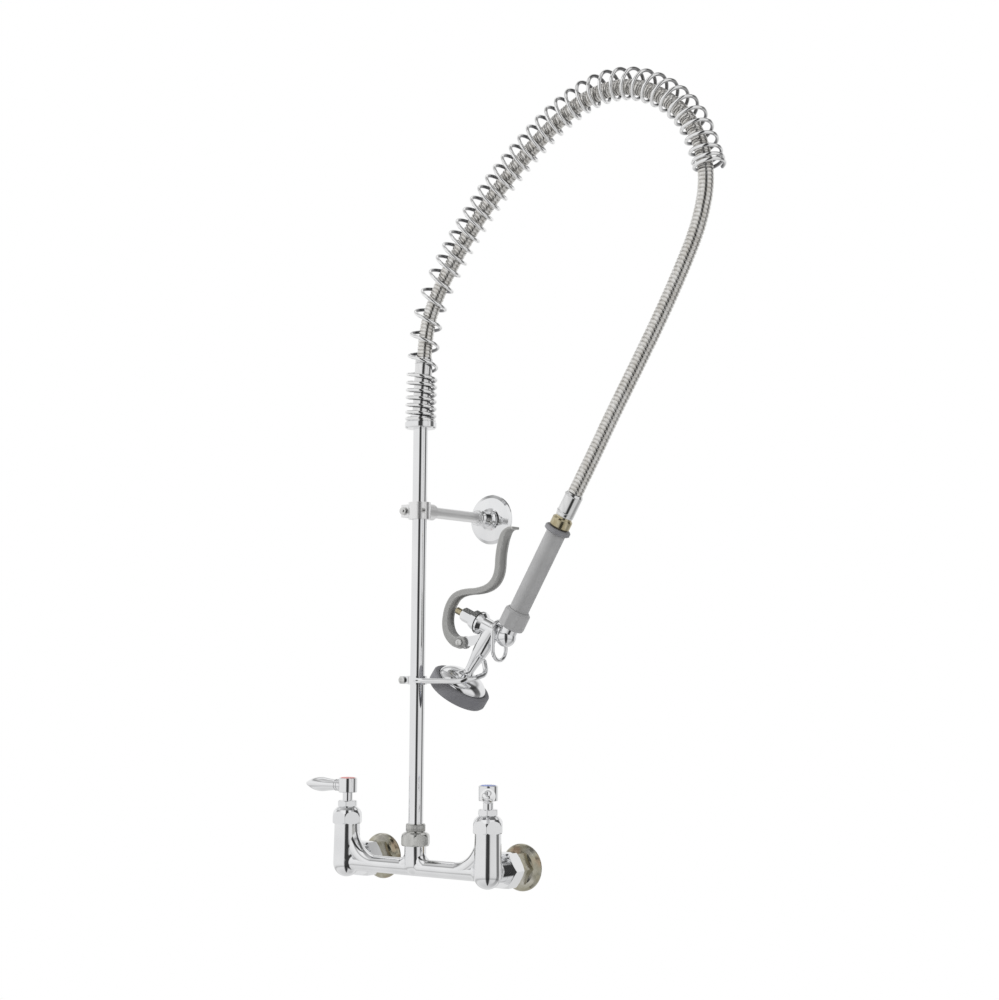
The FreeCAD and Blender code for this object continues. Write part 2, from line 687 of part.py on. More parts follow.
def valve_casting():
    """Barrel across, spray column down, elbow up to the grip, and the lug for the lever."""
    down = column_up * -1
    barrel = Part.makeCylinder(9.5, 19.4 + 17, on_plunger(-19.4), plunger_out)
    flange = Part.makeCylinder(13.2, 2.6, on_plunger(16.4), plunger_out)
    cone = Part.makeCone(9.5, 13.2, 4, on_plunger(12.4), plunger_out)
    elbow = Part.makeSphere(11.6, elbow_centre)
    neck = Part.makeCylinder(9.8, 14, elbow_centre, grip_up)
    column = revolved_curve([(9.6, 0), (9.7, 18), (9.0, 30), (6.8, 45), (5.6, 55)],
                            [(0, 55), (0, 0)], valve_centre, down)
    crown = Part.makeSphere(9.6, valve_centre)
    casting = barrel.multiFuse([flange, cone, elbow, neck, column, crown, lever_lug()])
    ways = [Part.makeCylinder(6, 33, on_plunger(-13), plunger_out),
            Part.makeCylinder(5.5, 40, elbow_centre, grip_up),
            Part.makeCylinder(3.6, 60, valve_centre, down),
            Part.makeCylinder(3.5, 20, on_plunger(-19.4), plunger_out),
            Part.makeCylinder(2.5, 30, pivot - WALL * 15, WALL)]
    return casting.cut(Part.makeCompound(ways))


def lever_lug():
    """Flat lug, 6 thick, from under the barrel out to the lever's pivot."""
    half_width = 3.0
    end = Part.makeCylinder(6.2, 2 * half_width, pivot - WALL * half_width, WALL)
    barrel_down = V(-plunger_out.z, 0, plunger_out.x)
    root_top = on_plunger(12) + barrel_down * 11
    root_low = valve_centre - column_up * 16
    corners = [pivot + V(-3, 0, 5), root_top, valve_centre, root_low, pivot + V(3, 0, -5.2)]
    corners = [point - WALL * half_width for point in corners]
    web = Part.Face(Part.makePolygon(corners + corners[:1])).extrude(WALL * (2 * half_width))
    return end.fuse(web)


def spray_head():
    """Domed shell under the column, its ring of rubber, the drilled face and its screw."""
    down = column_up * -1
    bumper_r = half("bumper_dia")
    deep = size("bumper_height")
    dome = revolved_curve([(5.6, -18.3), (6.6, -14.5), (11, -11.8), (18, -10), (24.5, -6.8),
                           (28.6, -2.5), (29.4, 3)],
                          [(29.4, 6), (26.5, 6), (26.5, -2), (20, -6), (8, -8.5), (3.6, -9),
                           (3.6, -18.3)], rim_centre, down)
    shaped("spray_dome", dome)
    bumper = turned("spray_bumper",
                    [(29.9, 0.6), (31, 0), (bumper_r - 1.5, 0), (bumper_r, 1.6),
                     (bumper_r, deep - 3), (bumper_r - 1.6, deep - 0.6), (bumper_r - 4, deep),
                     (29.9, deep)])
    place(bumper, rim_centre, down)
    face = Part.makeCylinder(29.3, 3, V(0, 0, 6.2))
    jets = []
    for count, radius in ((8, 10), (14, 17), (20, 24)):
        for number in range(count):
            angle = 2 * math.pi * number / count
            jets.append(Part.makeCylinder(0.8, 5, V(radius * math.cos(angle),
                                                    radius * math.sin(angle), 5.2)))
    jets.append(Part.makeCylinder(2.1, 5, V(0, 0, 5.2)))
    plate = shaped("spray_face", face.cut(Part.makeCompound(jets)))
    place(plate, rim_centre, down)
    screw = turned("spray_face_screw",
                   [(0, 2), (2, 2), (2, 9.3), (4.4, 9.3), (4.2, 10.6), (2.8, 11.6), (0, 11.8)])
    place(screw, rim_centre, down)


def plunger_group():
    """Bonnet, its nut and washer on the barrel, and the spring-loaded plunger in them."""
    washer = ring("bonnet_washer", 13.4, 6.2, 19.05, 20.4)
    place(washer, valve_centre, plunger_out)
    nut = hex_nut("valve_bonnet_nut", size("grip_dia") - 2.2,
                  [(7.35, 20.5), (10.8, 20.5), (11.6, 21.5), (11.6, 28.6), (10.2, 30),
                   (7.35, 30)], 20.5, 30)
    place(nut, valve_centre, plunger_out)
    bore = 4 + gap
    bonnet = hex_nut("valve_bonnet", size("grip_dia") - 7.8,
                     [(bore, 20.5), (7.3, 20.5), (7.3, 30.1), (8.3, 31), (8.3, 43.8),
                      (7.0, 45.2), (bore, 45.2)], 20.5, 45.2)
    place(bonnet, valve_centre, plunger_out)
    plunger = turned("plunger",
                     [(0, -7), (5.2, -7), (5.2, -3), (2.6, -3), (2.6, 20.6), (4, 22), (4, 55),
                      (3, 56), (0, 56)])
    place(plunger, valve_centre, plunger_out)
    coil = Part.makeHelix(3.0, 18, 4.1)
    section = Part.Wire(Part.Circle(V(4.1, 0, 0), V(0, 1, 0), 0.5).toShape())
    spring = shaped("plunger_spring", Part.Wire(coil.Edges).makePipeShell([section], True, True))
    place(spring, on_plunger(-2.2), plunger_out)


LEVER_ROUTE = [(64.5, 257.3), (50, 262), (42, 280), (46.5, 301), (60, 315), (98, 316),
               (115.5, 331), (116.5, 362), (125.5, 388)]
LEVER_BENDS = [9, 24, 22, 16, 17, 30, 40]
LEVER_LIP = [(125.5, 388), (136, 386)]


def squeeze_lever():
    """Bent strap: forked at its pivot, curled round the plunger and up beside the grip."""
    wide, thick = 15.0, 7.0
    wire = rounded_wire([in_plane(x, z) for x, z in LEVER_ROUTE], LEVER_BENDS)
    start = in_plane(*LEVER_ROUTE[0])
    along = (in_plane(*LEVER_ROUTE[1]) - start).normalize()
    across = along.cross(WALL)
    corners = [start + WALL * (wide / 2 * a) + across * (thick / 2 * b)
               for a, b in ((1, 1), (-1, 1), (-1, -1), (1, -1))]
    strap = wire.makePipeShell([Part.makePolygon(corners + corners[:1])], True, False)
    boss = Part.makeCylinder(7.2, wide, pivot - WALL * (wide / 2), WALL)
    top = in_plane(*LEVER_LIP[0])
    lip_along = (in_plane(*LEVER_LIP[1]) - top)
    lip = Part.makeBox(wide, 3.4, lip_along.Length + 3, V(-wide / 2, -1.7, -3))
    lip.Placement = FreeCAD.Placement(
        top - UP * 1.2, FreeCAD.Rotation(WALL, V(0, 0, 0), lip_along, "YZX"))
    lever = strap.multiFuse([boss, lip])
    slot = Part.makeCylinder(9.6, 6.8, pivot - WALL * 3.4, WALL)
    hole = Part.makeCylinder(2.5 + float(gap), 30, pivot - WALL * 15, WALL)
    shaped("squeeze_lever", lever.cut(Part.makeCompound([slot, hole])))
    pin = turned("lever_pivot_screw",
                 [(0, 0.6), (1.6, 0), (3.6, 0.5), (4.2, 1.6), (4.2, 2.5), (2.5, 2.5), (2.5, 19.5),
                  (0, 19.5)])
    place(pin, pivot - WALL * 10.4, WALL)


def grip():
    """Insulated handle: inner tube, gray sleeve with its end piece and collar, and hose nut."""
    tube = ring("grip_tube", 7.0, 5.5, 14.2, 140)
    place(tube, elbow_centre, grip_up)
    end = doc.addObject("Part::Prism", "grip_end_blank")
    end.Polygon = 8
    end.Circumradius = 15.6
    end.Height = 22
    end.Placement.Base = V(0, 0, 12.7)
    piece = doc.addObject("Part::Common", "grip_end")
    piece.Base = end
    piece.Tool = turned("grip_end_turning",
                        [(9.9, 12.7), (14.2, 12.7), (15.4, 14.5), (15.4, 31.5), (12.6, 34.7),
                         (7.1, 34.7), (7.1, 15), (9.9, 15)])
    place(piece, elbow_centre, grip_up)
    place(ring("grip_sleeve", half("grip_dia"), 7.1, 34.8, 133.6), elbow_centre, grip_up)
    collar = turned("grip_collar",
                    [(7.1, 133.7), (13.6, 133.7), (15, 134.8), (15, 138.2), (13.8, 139.4),
                     (7.1, 139.4)])
    place(collar, elbow_centre, grip_up)
    nut = hex_nut("hose_swivel_nut", size("spring_dia") * 0.62,
                  [(5.5, 140.1), (10.5, 140.1), (11.8, 141.6), (11.8, 150), (10.6, 151.5),
                   (9.4, 151.6), (9.4, 153.7), (5.5, 153.7)], 140.1, 153.7)
    place(nut, elbow_centre, grip_up)


RING_WIRE = 2.2


def hold_ring():
    """Long wire ring that hangs over the barrel between the column and the elbow."""
    middle = on_plunger(-9.6)
    top = middle + UP * 13.6
    width, long_side = 13.0, 44.0
    corners = [top, top + WALL * width, top + WALL * width - UP * long_side,
               top - WALL * width - UP * long_side, top - WALL * width, top]
    wire = rounded_wire(corners, [width - 0.5, width - 0.5, width - 0.5, width - 0.5])
    section = Part.Wire(Part.Circle(top, WALL, RING_WIRE).toShape())
    shaped("hold_ring", wire.makePipeShell([section], True, False))


# ---------------------------------------------------------------- make every piece
shaped("faucet_body", water_casting())
inlets()
seats = []
for side, x in SIDES.items():
    valve_stack(side, x)
    seat = ring(side + "_seat", half("arm_bore") - 0.05, 5.5, 2.05, 5.6)
    seats.append(place(seat, V(x, front, 0)))
group("valve_seats", seats)
handle("hot", SIDES["hot"], V(-1, 0, 0))
cold_angle = math.radians(-55.5)
handle("cold", SIDES["cold"], V(math.cos(cold_angle), math.sin(cold_angle), 0))
swivel()
wall_bracket()
finger_hook()
overhead()
shaped("valve_body", valve_casting())
spray_head()
plunger_group()
squeeze_lever()
grip()
hold_ring()
doc.recompute()

NODES = [
    "faucet_body", "hot_coupling_nut", "cold_coupling_nut", "hot_inlet_flange",
    "cold_inlet_flange", "inlet_washers", "hot_bonnet_nut", "cold_bonnet_nut",
    "hot_packing_nut", "cold_packing_nut", "hot_cartridge", "cold_cartridge", "valve_seats",
    "hot_stem", "cold_stem", "hot_lever", "cold_lever", "hot_index", "cold_index",
    "hot_handle_screw", "cold_handle_screw", "riser_union_nut", "riser_swivel_stem",
    "union_o_rings", "riser_pipe", "bracket_clamp", "bracket_clamp_screw", "bracket_pipe",
    "bracket_flange", "bracket_set_screw", "finger_hook", "finger_hook_screw",
    "finger_hook_nut", "spring_nut", "overhead_spring", "hose_inlet_ferrule", "hose",
    "hose_outlet_ferrule", "hose_swivel_nut", "grip_tube", "grip_sleeve", "grip_end",
    "grip_collar", "valve_body", "valve_bonnet", "valve_bonnet_nut", "bonnet_washer",
    "plunger", "plunger_spring", "squeeze_lever", "lever_pivot_screw", "hold_ring",
    "spray_dome", "spray_face", "spray_bumper", "spray_face_screw",
]
failed = [item.Label for item in doc.Objects
          if "Invalid" in item.State or "Error" in item.State]
for name in NODES:
    piece = doc.getObject(name)
    if piece.Shape.isNull() or not piece.Shape.isValid() or not piece.Shape.Solids:
        failed.append(name)
if failed:
    raise SystemExit("failed: " + ", ".join(failed))
for name in NODES:
    doc.getObject(name).Shape.exportStep("parts/%s.step" % name)
print(len(NODES), "pieces written")
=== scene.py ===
import math

import bpy
import numpy as np
from mathutils import Matrix, Vector


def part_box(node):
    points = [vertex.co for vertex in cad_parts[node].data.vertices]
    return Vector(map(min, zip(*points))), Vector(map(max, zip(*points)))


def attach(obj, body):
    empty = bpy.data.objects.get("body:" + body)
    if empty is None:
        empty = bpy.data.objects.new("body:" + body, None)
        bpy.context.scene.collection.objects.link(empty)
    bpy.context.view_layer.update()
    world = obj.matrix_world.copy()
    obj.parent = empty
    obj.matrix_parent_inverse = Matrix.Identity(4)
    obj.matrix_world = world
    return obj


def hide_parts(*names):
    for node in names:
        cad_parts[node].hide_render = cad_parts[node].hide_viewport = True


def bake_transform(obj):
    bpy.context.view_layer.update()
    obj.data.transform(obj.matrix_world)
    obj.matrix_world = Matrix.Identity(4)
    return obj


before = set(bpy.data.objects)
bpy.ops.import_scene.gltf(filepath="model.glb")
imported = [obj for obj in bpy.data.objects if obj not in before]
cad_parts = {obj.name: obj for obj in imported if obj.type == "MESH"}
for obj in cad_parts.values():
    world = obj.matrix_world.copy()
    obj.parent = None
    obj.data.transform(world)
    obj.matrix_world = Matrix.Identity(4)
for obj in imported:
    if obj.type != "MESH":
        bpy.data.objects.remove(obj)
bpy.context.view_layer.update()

scene = bpy.context.scene
MM = 0.001

# ---------------------------------------------------------------- camera
FOCAL = 1.8092                      # focal length over the picture's height
AZIMUTH = math.radians(34.51)       # the camera stands to the front and right
PITCH = math.radians(5.12)          # and looks slightly up
ROLL = math.radians(0.50)
CAMERA_AT = Vector((1.2748, -1.7591, 0.2353))


def make_camera():
    forward = Vector((-math.sin(AZIMUTH) * math.cos(PITCH),
                      math.cos(AZIMUTH) * math.cos(PITCH), math.sin(PITCH)))
    level = Vector((math.cos(AZIMUTH), math.sin(AZIMUTH), 0))
    above = level.cross(forward)
    right = math.cos(ROLL) * level + math.sin(ROLL) * above
    up = -math.sin(ROLL) * level + math.cos(ROLL) * above
    data = bpy.data.cameras.new("camera")
    data.sensor_fit = "AUTO"
    data.sensor_width = 36
    data.lens = FOCAL * data.sensor_width
    data.clip_start, data.clip_end = 0.01, 50
    camera = bpy.data.objects.new("camera", data)
    camera.matrix_world = Matrix.Translation(CAMERA_AT) @ Matrix(
        (right, up, -forward)).transposed().to_4x4()
    scene.collection.objects.link(camera)
    scene.camera = camera


make_camera()


# ---------------------------------------------------------------- material building
class Shader:
    """A node material under construction: one Principled shader and what feeds it."""

    def __init__(self, name, color, roughness, metallic=0.0):
        self.material = bpy.data.materials.new(name)
        self.material.use_nodes = True
        self.tree = self.material.node_tree
        self.main = self.tree.nodes["Principled BSDF"]
        self.main.inputs["Base Color"].default_value = (*color, 1)
        self.main.inputs["Roughness"].default_value = roughness
        self.main.inputs["Metallic"].default_value = metallic
        self.coordinates = self.tree.nodes.new("ShaderNodeTexCoord").outputs["Object"]

    def node(self, kind, **settings):
        made = self.tree.nodes.new(kind)
        for key, value in settings.items():
            setattr(made, key, value)
        return made

    def link(self, source, target):
        self.tree.links.new(source, target)

    def noise(self, scale, detail=3.0, stretch=(1, 1, 1)):
        mapping = self.node("ShaderNodeMapping")
        mapping.inputs["Scale"].default_value = stretch
        texture = self.node("ShaderNodeTexNoise")
        texture.inputs["Scale"].default_value = scale
        texture.inputs["Detail"].default_value = detail
        self.link(self.coordinates, mapping.inputs["Vector"])
        self.link(mapping.outputs["Vector"], texture.inputs["Vector"])
        return texture.outputs["Fac"]

    def ramp(self, factor, stops):
        ramp = self.node("ShaderNodeValToRGB")
        for index, (place, color) in enumerate(stops):
            stop = ramp.color_ramp.elements[index] if index < 2 \
                else ramp.color_ramp.elements.new(place)
            stop.position = place
            stop.color = (*color, 1)
        self.link(factor, ramp.inputs["Fac"])
        return ramp.outputs["Color"]

    def spread(self, factor, low, high):
        spread = self.node("ShaderNodeMapRange")
        spread.inputs["From Min"].default_value = 0.3
        spread.inputs["From Max"].default_value = 0.7
        spread.inputs["To Min"].default_value = low
        spread.inputs["To Max"].default_value = high
        self.link(factor, spread.inputs["Value"])
        return spread.outputs["Result"]

    def color_between(self, factor, first, second):
        self.link(self.ramp(factor, [(0.35, first), (0.65, second)]),
                  self.main.inputs["Base Color"])

    def roughness_between(self, factor, low, high):
        self.link(self.spread(factor, low, high), self.main.inputs["Roughness"])

    def bump(self, height, distance, strength=1.0):
        bump = self.node("ShaderNodeBump")
        bump.inputs["Distance"].default_value = distance
        bump.inputs["Strength"].default_value = strength
        self.link(height, bump.inputs["Height"])
        self.link(bump.outputs["Normal"], self.main.inputs["Normal"])


def chrome():
    """Bright plate: nearly clean, with faint wiping smears and a slight waviness."""
    shader = Shader("polished_chrome", (0.87, 0.875, 0.885), 0.05, 1.0)
    smears = shader.noise(38, 4, (1, 1, 0.35))
    shader.color_between(smears, (0.85, 0.855, 0.865), (0.9, 0.903, 0.91))
    shader.roughness_between(smears, 0.035, 0.10)
    shader.bump(shader.noise(90, 2), 0.00006, 0.35)
    return shader.material


def cast_chrome():
    """Plate over a casting: the same brightness with the casting's gentle ripple."""
    shader = Shader("cast_chrome", (0.87, 0.875, 0.885), 0.07, 1.0)
    ripple = shader.noise(26, 3)
    shader.color_between(ripple, (0.84, 0.845, 0.855), (0.9, 0.903, 0.91))
    shader.roughness_between(shader.noise(60, 4), 0.05, 0.13)
    shader.bump(ripple, 0.00035, 0.4)
    return shader.material


def drawn_steel(name, first, second, rough, stretch):
    """Bare or thinly plated metal with the fine grain of drawing or turning."""
    shader = Shader(name, first, rough, 1.0)
    grain = shader.noise(240, 5, stretch)
    shader.color_between(grain, first, second)
    shader.roughness_between(grain, rough * 0.75, rough * 1.3)
    shader.bump(grain, 0.00008, 0.4)
    return shader.material


def coil_wire():
    """Polished spring wire, with painted shade darkening the side that faces into the coil."""
    shader = Shader("spring_wire", (0.9, 0.9, 0.9), 0.05, 1.0)
    # painted shade: the inward attribute darkens the wire from its outer side to its inner side
    inward = shader.node("ShaderNodeAttribute", attribute_name="inward")
    shader.link(shader.ramp(inward.outputs["Fac"],
                            [(0.0, (0.97, 0.97, 0.97)), (0.42, (0.90, 0.90, 0.90)),
                             (0.68, (0.38, 0.38, 0.385)), (1.0, (0.20, 0.20, 0.205))]),
                shader.main.inputs["Base Color"])
    shader.roughness_between(shader.noise(240, 4), 0.04, 0.08)
    return shader.material


def nickel_bronze():
    """Thin nickel over bronze: warm, with cloudy yellowing and a satin turned surface."""
    shader = Shader("nickel_bronze", (0.40, 0.38, 0.31), 0.24, 1.0)
    clouds = shader.noise(55, 5)
    shader.link(shader.ramp(clouds, [(0.3, (0.40, 0.30, 0.21)), (0.5, (0.42, 0.40, 0.31)),
                                     (0.72, (0.60, 0.58, 0.52))]),
                shader.main.inputs["Base Color"])
    shader.roughness_between(shader.noise(160, 3), 0.10, 0.24)
    shader.bump(shader.noise(420, 3), 0.00006, 0.5)
    return shader.material


def satin_plate():
    """Plate left dull: soft reflections with only a slow change of sheen."""
    shader = Shader("satin_plate", (0.9, 0.9, 0.9), 0.3, 1.0)
    cloud = shader.noise(22, 2)
    shader.color_between(cloud, (0.87, 0.87, 0.87), (0.93, 0.93, 0.93))
    shader.roughness_between(cloud, 0.26, 0.34)
    shader.bump(shader.noise(120, 2), 0.00002, 0.3)
    return shader.material


def moulded(name, first, second, rough, grain_scale, depth):
    """Moulded plastic or rubber: slight tone changes and a fine spark-eroded texture."""
    shader = Shader(name, first, rough)
    tone = shader.noise(30, 4)
    shader.color_between(tone, first, second)
    shader.roughness_between(shader.noise(120, 3), rough * 0.85, rough * 1.15)
    shader.bump(shader.noise(grain_scale, 2), depth, 0.6)
    return shader.material


def painted_light_lever_coating():
    """Lever coating: warm gray, with painted highlight on its ridges and painted shade in its
    channels.
    """
    shader = Shader("lever_coating", (0.29, 0.29, 0.27), 0.36)
    # pointiness paints shade into the channels and a highlight along the ridges
    edges = shader.node("ShaderNodeNewGeometry").outputs["Pointiness"]
    shader.link(shader.ramp(edges, [(0.44, (0.10, 0.10, 0.098)), (0.49, (0.25, 0.25, 0.243)),
                                    (0.52, (0.30, 0.30, 0.292)), (0.55, (0.66, 0.66, 0.645))]),
                shader.main.inputs["Base Color"])
    shader.roughness_between(shader.noise(90, 3), 0.28, 0.42)
    shader.bump(shader.noise(500, 2), 0.0001, 0.6)
    return shader.material


def enamel(name, color, darker):
    """Glossy index enamel with a clear coat."""
    shader = Shader(name, color, 0.16)
    shader.main.inputs["Coat Weight"].default_value = 0.6
    shader.color_between(shader.noise(80, 3), color, darker)
    shader.bump(shader.noise(300, 2), 0.00003, 0.4)
    return shader.material


CHROME = chrome()
CAST = cast_chrome()
WIRE = coil_wire()
HOSE = drawn_steel("hose_strip", (0.66, 0.64, 0.605), (0.86, 0.85, 0.83), 0.2, (1, 1, 0.3))
SATIN = drawn_steel("satin_steel", (0.62, 0.62, 0.61), (0.76, 0.76, 0.75), 0.22, (1, 1, 0.2))
FERRULE = drawn_steel("ferrule_steel", (0.74, 0.74, 0.74), (0.85, 0.85, 0.85), 0.13,
                      (1, 1, 0.2))
SATIN_PLATE = satin_plate()
NICKEL = drawn_steel("gray_nickel", (0.50, 0.50, 0.48), (0.64, 0.64, 0.62), 0.16, (1, 1, 0.3))
BRONZE = nickel_bronze()
BRASS = drawn_steel("pale_brass", (0.44, 0.38, 0.24), (0.62, 0.56, 0.40), 0.2, (1, 1, 0.4))
GRIP = moulded("grip_plastic", (0.30, 0.30, 0.302), (0.33, 0.33, 0.332), 0.44, 900, 0.00008)
COLLAR = moulded("grip_collar_plastic", (0.19, 0.19, 0.20), (0.22, 0.22, 0.23), 0.5, 900,
                 0.00008)
BUMPER = moulded("bumper_rubber", (0.145, 0.145, 0.158), (0.18, 0.18, 0.19), 0.55, 700, 0.0001)
SEAL = moulded("seal_rubber", (0.012, 0.012, 0.012), (0.03, 0.03, 0.03), 0.5, 600, 0.0001)
LEVER = painted_light_lever_coating()
RED = enamel("hot_enamel", (0.62, 0.045, 0.025), (0.52, 0.03, 0.02))
BLUE = enamel("cold_enamel", (0.03, 0.11, 0.46), (0.02, 0.08, 0.38))

NODE_MATERIALS = {
    CAST: ["faucet_body", "valve_body", "spray_dome"],
    CHROME: ["hot_coupling_nut", "cold_coupling_nut", "hot_bonnet_nut", "cold_bonnet_nut",
             "hot_packing_nut", "cold_packing_nut", "hot_stem", "cold_stem", "hot_lever",
             "cold_lever", "riser_pipe", "bracket_flange", "finger_hook", "spring_nut",
             "valve_bonnet", "valve_bonnet_nut", "hold_ring"],
    SATIN_PLATE: ["bracket_clamp", "bracket_pipe"],
    NICKEL: ["riser_union_nut", "riser_swivel_stem"],
    FERRULE: ["hose_inlet_ferrule", "hose_outlet_ferrule"],
    SATIN: ["finger_hook_screw", "finger_hook_nut", "bracket_clamp_screw",
            "bracket_set_screw", "hot_handle_screw", "cold_handle_screw",
            "lever_pivot_screw", "spray_face_screw", "spray_face", "grip_tube"],
    WIRE: ["overhead_spring", "plunger_spring"],
    HOSE: ["hose"],
    BRONZE: ["hot_inlet_flange", "cold_inlet_flange"],
    BRASS: ["hot_cartridge", "cold_cartridge", "valve_seats", "hose_swivel_nut", "plunger"],
    GRIP: ["grip_sleeve", "grip_end"],
    COLLAR: ["grip_collar"],
    BUMPER: ["spray_bumper"],
    SEAL: ["inlet_washers", "union_o_rings", "bonnet_washer"],
    LEVER: ["squeeze_lever"],
    RED: ["hot_index"],
    BLUE: ["cold_index"],
}
for material, names in NODE_MATERIALS.items():
    for name in names:
        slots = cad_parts[name].data.materials
        slots.clear()
        slots.append(material)


# ---------------------------------------------------------------- mesh building
def new_mesh(name, points, faces, material, smooth=True):
    mesh = bpy.data.meshes.new(name)
    mesh.from_pydata([tuple(point) for point in points], [], faces)
    mesh.materials.append(material)
    mesh.polygons.foreach_set("use_smooth", [smooth] * len(mesh.polygons))
    mesh.update()
    made = bpy.data.objects.new(name, mesh)
    scene.collection.objects.link(made)
    return made


def grid_faces(rows, columns):
    """Quads between rings of points, each ring closed on itself, with the ends capped."""
    faces = []
    for row in range(rows - 1):
        for column in range(columns):
            after = (column + 1) % columns
            faces.append((row * columns + column, row * columns + after,
                          (row + 1) * columns + after, (row + 1) * columns + column))
    faces.append(tuple(reversed(range(columns))))
    faces.append(tuple((rows - 1) * columns + column for column in range(columns)))
    return faces


class Path:
    """A line in the valve's plane, sampled evenly, with its own side and outward directions."""

    def __init__(self, points, step):
        points = np.array(points, float)
        lengths = np.r_[0, np.cumsum(np.linalg.norm(np.diff(points, axis=0), axis=1))]
        self.length = lengths[-1]
        count = max(2, int(self.length / step) + 1)
        self.s = np.linspace(0, self.length, count)
        self.points = np.stack([np.interp(self.s, lengths, points[:, k]) for k in range(3)], 1)
        tangent = np.gradient(self.points, self.s, axis=0)
        kernel = np.ones(5) / 5
        padded = np.pad(tangent, ((2, 2), (0, 0)), mode="edge")
        tangent = np.stack([np.convolve(padded[:, k], kernel, "valid") for k in range(3)], 1)
        self.tangent = tangent / np.linalg.norm(tangent, axis=1)[:, None]
        self.side = np.tile([0.0, 1.0, 0.0], (count, 1))
        self.out = np.cross(self.side, self.tangent)

    def at(self, s, values):
        return np.stack([np.interp(s, self.s, values[:, k]) for k in range(3)], -1)

    def sampled(self, s):
        """The same line at chosen places along it."""
        other = Path.__new__(Path)
        other.s, other.length = s, self.length
        for name in ("points", "tangent", "side", "out"):
            setattr(other, name, self.at(s, getattr(self, name)))
        return other


def spline_points(name, route):
    """Points of the smooth line that a route's NURBS spline makes."""
    curve = bpy.data.curves.new(name, "CURVE")
    curve.dimensions = "3D"
    spline = curve.splines.new("NURBS")
    spline.points.add(len(route) - 1)
    for point, (x, y, z) in zip(spline.points, route):
        point.co = (x, y, z, 1)
    spline.order_u = 3
    spline.use_endpoint_u = True
    curve.resolution_u = 32
    holder = bpy.data.objects.new(name, curve)
    scene.collection.objects.link(holder)
    mesh = bpy.data.meshes.new_from_object(holder)
    points = [vertex.co.copy() for vertex in mesh.vertices]
    bpy.data.objects.remove(holder)
    bpy.data.meshes.remove(mesh)
    return points


def tube_mesh(name, path, radii, segments, material):
    """A tube round the path, with a radius for each of its points."""
    angles = np.linspace(0, 2 * math.pi, segments, endpoint=False)
    ring = (np.cos(angles)[None, :, None] * path.out[:, None]
            + np.sin(angles)[None, :, None] * path.side[:, None])
    points = path.points[:, None] + np.asarray(radii)[:, None, None] * ring
    return new_mesh(name, points.reshape(-1, 3), grid_faces(len(path.points), segments),
                    material)


# ---------------------------------------------------------------- hose
PLANE_Y = -0.070                 # the riser, the loop and the valve lie in this plane
HOSE_RADIUS = 8.7 * MM
HOSE_ROUTE = [(0.004, 0.592), (0.006, 0.626), (0.020, 0.662), (0.042, 0.698), (0.070, 0.737),
              (0.104, 0.776), (0.146, 0.815), (0.192, 0.850), (0.238, 0.872), (0.287, 0.873),
              (0.334, 0.849), (0.368, 0.809), (0.381, 0.757), (0.371, 0.706), (0.347, 0.655),
              (0.320, 0.604), (0.291, 0.554), (0.262, 0.505), (0.236, 0.458), (0.215, 0.422)]
RIB_PITCH = 4.4 * MM
GROOVE_DEPTH = 0.95 * MM


def make_hose():
    """Interlocked strip hose: flat bands with a narrow groove between neighbours."""
    line = spline_points("hose_line", [(x, PLANE_Y, z) for x, z in HOSE_ROUTE])
    path = Path(line, 1.0 * MM)
    band = [(0.0, 0.55), (0.07, 0.12), (0.14, 0.0), (0.42, 0.0), (0.70, 0.0), (0.77, 0.12),
            (0.84, 0.55), (0.87, 1.0), (0.97, 1.0)]            # place in a pitch, depth
    count = int((path.length - RIB_PITCH * 0.2) / RIB_PITCH)
    pitch = path.length / (count + 0.84)
    places = [(number + place) * pitch for number in range(count + 1) for place, _ in band]
    depths = [depth for _ in range(count + 1) for _, depth in band]
    inside = [index for index, place in enumerate(places) if place <= path.length]
    s = np.array([places[index] for index in inside])
    tube = path.sampled(s)
    made = tube_mesh("ribbed_hose", tube,
                     HOSE_RADIUS - GROOVE_DEPTH * np.array([depths[i] for i in inside]),
                     40, HOSE)
    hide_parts("hose")
    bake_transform(made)


make_hose()


# ---------------------------------------------------------------- overhead spring
COIL_FROM = 0.5172               # where the lowest turn rests on the spring nut
COIL_STRAIGHT_TO = 0.560
COIL_OFFSET = 0.004              # the hose hugs the inner side of the bent coil
COIL_END = 12                    # the route point round which the last turn closes
WIRE_RADIUS = 2.05 * MM
WIRE_SIDES = 16
COIL_RADIUS = 16.55 * MM
COIL_STOPS_SHORT = 9 * MM        # of its sleeve's end
STEPS_PER_TURN = 48
FIRST_TURN_STARTS = math.radians(20)


def coil_route():
    """The hose's own route, moved outward where the loop bends."""
    points = [Vector((0, PLANE_Y, COIL_FROM)), Vector((0, PLANE_Y, COIL_STRAIGHT_TO))]
    route = [Vector((x, PLANE_Y, z)) for x, z in HOSE_ROUTE]
    for index in range(1, COIL_END + 1):
        into = (route[index] - route[index - 1]).normalized()
        out = (route[index + 1] - route[index]).normalized()
        points.append(route[index] + (into - out).normalized() * COIL_OFFSET
                      * min(1.0, index / 3))
    return points


